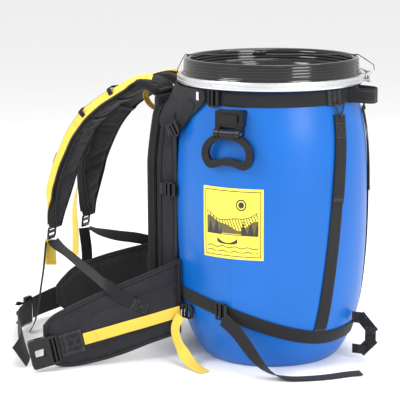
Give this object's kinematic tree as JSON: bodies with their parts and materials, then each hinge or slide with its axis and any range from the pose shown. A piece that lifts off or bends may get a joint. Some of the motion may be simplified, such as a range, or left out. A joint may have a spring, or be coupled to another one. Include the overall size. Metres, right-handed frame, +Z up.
{
  "type": "bear canister",
  "caption": "Wide-mouth food barrel with a lever-lock lid ring, swing handles and a padded backpack harness of webbing, hip wings and shoulder straps.",
  "frame": {"origin": "on the barrel's vertical axis, at the underside of its base", "axes": "+Z up the barrel's axis; the harness is on the -X side and its wearer faces -X, with the wearer's left at -Y; handles point to -Y and +Y"},
  "size_m": [0.8364, 0.6033, 0.6382],
  "materials": {
    "barrel_blue": "blow-moulded polyethylene, satin with soft highlights",
    "lid_black": "moulded black plastic, polished",
    "gasket_rubber": "soft black rubber",
    "galvanised_steel": "zinc-plated spring steel",
    "handle_plastic": "moulded black plastic, semi-matt",
    "steel_pin": "plated steel pin",
    "label_vinyl": "yellow vinyl with a black line drawing",
    "frame_plastic": "black sheet plastic in a fabric sleeve",
    "pad_fabric": "fine woven nylon over foam, bound edges",
    "yellow_webbing": "woven nylon webbing",
    "black_webbing": "woven nylon webbing",
    "buckle_plastic": "moulded acetal"
  },
  "bodies": {
    "barrel": {"back_panel": "pad_fabric", "band_locks": "buckle_plastic", "barrel_shell": "barrel_blue", "frame_sheet": "frame_plastic", "handle_bracket_far": "handle_plastic", "handle_bracket_near": "handle_plastic", "handle_pins": "steel_pin", "haul_loop": "yellow_webbing", "hip_belt_tail": "black_webbing", "hip_buckle_plug": "buckle_plastic", "hip_buckle_socket": "buckle_plastic", "hip_webbing_far": "black_webbing", "hip_webbing_near": "black_webbing", "hip_wing_far": "pad_fabric", "hip_wing_near": "pad_fabric", "label": "label_vinyl", "ladder_locks": "buckle_plastic", "lifter_tail_far": "yellow_webbing", "lifter_tail_near": "yellow_webbing", "load_lifter_far": "yellow_webbing", "load_lifter_near": "yellow_webbing", "lower_band": "black_webbing", "lower_band_tail": "black_webbing", "lower_grab_loop": "black_webbing", "lumbar_pad": "pad_fabric", "shoulder_strap_far": "pad_fabric", "shoulder_strap_near": "pad_fabric", "shoulder_tail_far": "black_webbing", "shoulder_tail_near": "black_webbing", "side_webbing": "black_webbing", "stabiliser_far": "yellow_webbing", "stabiliser_near": "yellow_webbing", "stabiliser_tail_near": "yellow_webbing", "stitched_patches": "black_webbing", "strap_keepers": "black_webbing", "strap_rings": "buckle_plastic", "strap_sliders": "buckle_plastic", "strap_webbing_far": "black_webbing", "strap_webbing_near": "black_webbing", "upper_band": "black_webbing", "upper_grab_loop": "black_webbing", "upright_strap_far": "black_webbing", "upright_strap_near": "black_webbing", "upright_tails": "black_webbing", "yoke_pad": "pad_fabric"},
    "lid": {"lid": "lid_black", "lid_gasket": "gasket_rubber", "locking_ring": "galvanised_steel", "latch_pivot_bracket": "galvanised_steel", "latch_hook_bracket": "galvanised_steel", "padlock_hasp": "galvanised_steel", "lid_strap": "black_webbing", "lid_strap_buckle": "buckle_plastic"},
    "lever": {"latch_lever": "galvanised_steel", "latch_pins": "galvanised_steel"},
    "link": {"latch_link": "galvanised_steel"},
    "handle_near": {"handle_near": "handle_plastic"},
    "handle_far": {"handle_far": "handle_plastic"}
  },
  "joints": [
    {"name": "lid_lift", "type": "slide", "parent": "barrel", "child": "lid", "axis": [0, 0, 1], "range_m": [0, 0.12], "deforming": ["locking_ring"]},
    {"name": "lever_swing", "type": "hinge", "parent": "lid", "child": "lever", "pos_m": [0.18859, 0.07619, 0.5881], "axis": [0, 0, -1], "range_deg": [0, 110]},
    {"name": "link_swing", "type": "hinge", "parent": "lever", "child": "link", "pos_m": [0.1827, 0.08676, 0.5881], "axis": [0, 0, -1], "range_deg": [-90, 0]},
    {"name": "handle_near_swing", "type": "hinge", "parent": "barrel", "child": "handle_near", "pos_m": [0, -0.21, 0.496], "axis": [-1, 0, 0], "range_deg": [0, 120]},
    {"name": "handle_far_swing", "type": "hinge", "parent": "barrel", "child": "handle_far", "pos_m": [0, 0.21, 0.496], "axis": [1, 0, 0], "range_deg": [0, 120]}
  ],
  "couplings": [
    {"joint": "link_swing", "follows": "lever_swing", "ratio": -0.8}
  ]
}
